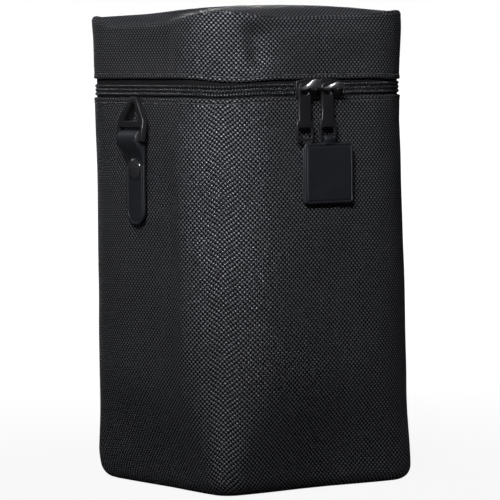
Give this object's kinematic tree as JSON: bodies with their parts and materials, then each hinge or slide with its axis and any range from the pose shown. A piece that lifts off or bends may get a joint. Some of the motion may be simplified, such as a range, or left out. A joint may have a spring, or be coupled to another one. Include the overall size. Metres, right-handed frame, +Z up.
{
  "type": "lens pouch",
  "caption": "Padded square lens pouch of black woven nylon with a zipped, domed lid hinged at the back, side lugs with rings, and a leather tag on a zip pull.",
  "frame": {"origin": "middle of the base, on the flat face that the pouch stands on", "axes": "+Z up along the pouch's height; the front, with the zip pulls, faces -Y; the lid's hinge runs along the back at +Y; the two lugs are on the -X and +X sides"},
  "size_m": [0.1486, 0.1412, 0.2346],
  "materials": {
    "nylon": "woven ballistic nylon, low sheen",
    "lining": "brushed knit",
    "foam": "soft closed-cell padding",
    "board": "matt stiffener sheet",
    "zip_tape": "woven polyester tape",
    "zip_coil": "satin nylon coil",
    "black_metal": "black nickel look, satin gloss",
    "leather": "smooth, matt to satin",
    "ring_plastic": "moulded, satin gloss"
  },
  "bodies": {
    "body": {"body_outer": "nylon", "body_foam_front": "foam", "body_foam_right": "foam", "body_foam_back": "foam", "body_foam_left": "foam", "body_lining": "lining", "base_outer": "nylon", "base_board": "board", "base_foam": "foam", "base_lining": "lining", "zip_tape_lower": "zip_tape", "zip_coil_lower": "zip_coil", "hinge_strip_lower": "nylon", "lug_strap_left": "leather", "lug_rivet_left": "black_metal", "lug_washer_left": "black_metal", "lug_strap_right": "leather", "lug_rivet_right": "black_metal", "lug_washer_right": "black_metal"},
    "lid": {"lid_band_outer": "nylon", "lid_foam_front": "foam", "lid_foam_right": "foam", "lid_foam_back": "foam", "lid_foam_left": "foam", "lid_band_lining": "lining", "lid_top_outer": "nylon", "lid_top_foam": "foam", "lid_top_lining": "lining", "zip_tape_upper": "zip_tape", "zip_coil_upper": "zip_coil", "hinge_strip_upper": "nylon"},
    "slider_left": {"slider_left": "black_metal"},
    "slider_right": {"slider_right": "black_metal"},
    "pull_left": {"pull_left": "black_metal"},
    "pull_right": {"pull_right": "black_metal"},
    "tag": {"tag_front": "leather", "tag_back": "leather"},
    "ring_left": {"lug_ring_left": "ring_plastic"},
    "ring_right": {"lug_ring_right": "ring_plastic"}
  },
  "joints": [
    {"name": "lid_hinge", "type": "hinge", "parent": "body", "child": "lid", "pos_m": [0, 0.063, 0.1937], "axis": [-1, 0, 0], "range_deg": [0, 120]},
    {"name": "slider_left_slide", "type": "slide", "parent": "body", "child": "slider_left", "axis": [-1, 0, 0], "range_m": [0, 0.012]},
    {"name": "slider_right_slide", "type": "slide", "parent": "body", "child": "slider_right", "axis": [1, 0, 0], "range_m": [0, 0.022]},
    {"name": "pull_left_swing", "type": "hinge", "parent": "slider_left", "child": "pull_left", "pos_m": [-0.01635, -0.0691, 0.1937], "axis": [0, 1, 0], "range_deg": [0, 85]},
    {"name": "pull_right_swing", "type": "hinge", "parent": "slider_right", "child": "pull_right", "pos_m": [-0.00275, -0.0691, 0.1937], "axis": [0, -1, 0], "range_deg": [0, 35]},
    {"name": "tag_flip", "type": "hinge", "parent": "pull_right", "child": "tag", "pos_m": [-0.00195, -0.0691, 0.1694], "axis": [-1, 0, 0], "range_deg": [0, 90]},
    {"name": "ring_left_swing", "type": "hinge", "parent": "body", "child": "ring_left", "pos_m": [-0.071, 0, 0.1702], "axis": [0, -1, 0], "range_deg": [0, 150]},
    {"name": "ring_right_swing", "type": "hinge", "parent": "body", "child": "ring_right", "pos_m": [0.071, 0, 0.1702], "axis": [0, 1, 0], "range_deg": [0, 150]}
  ]
}
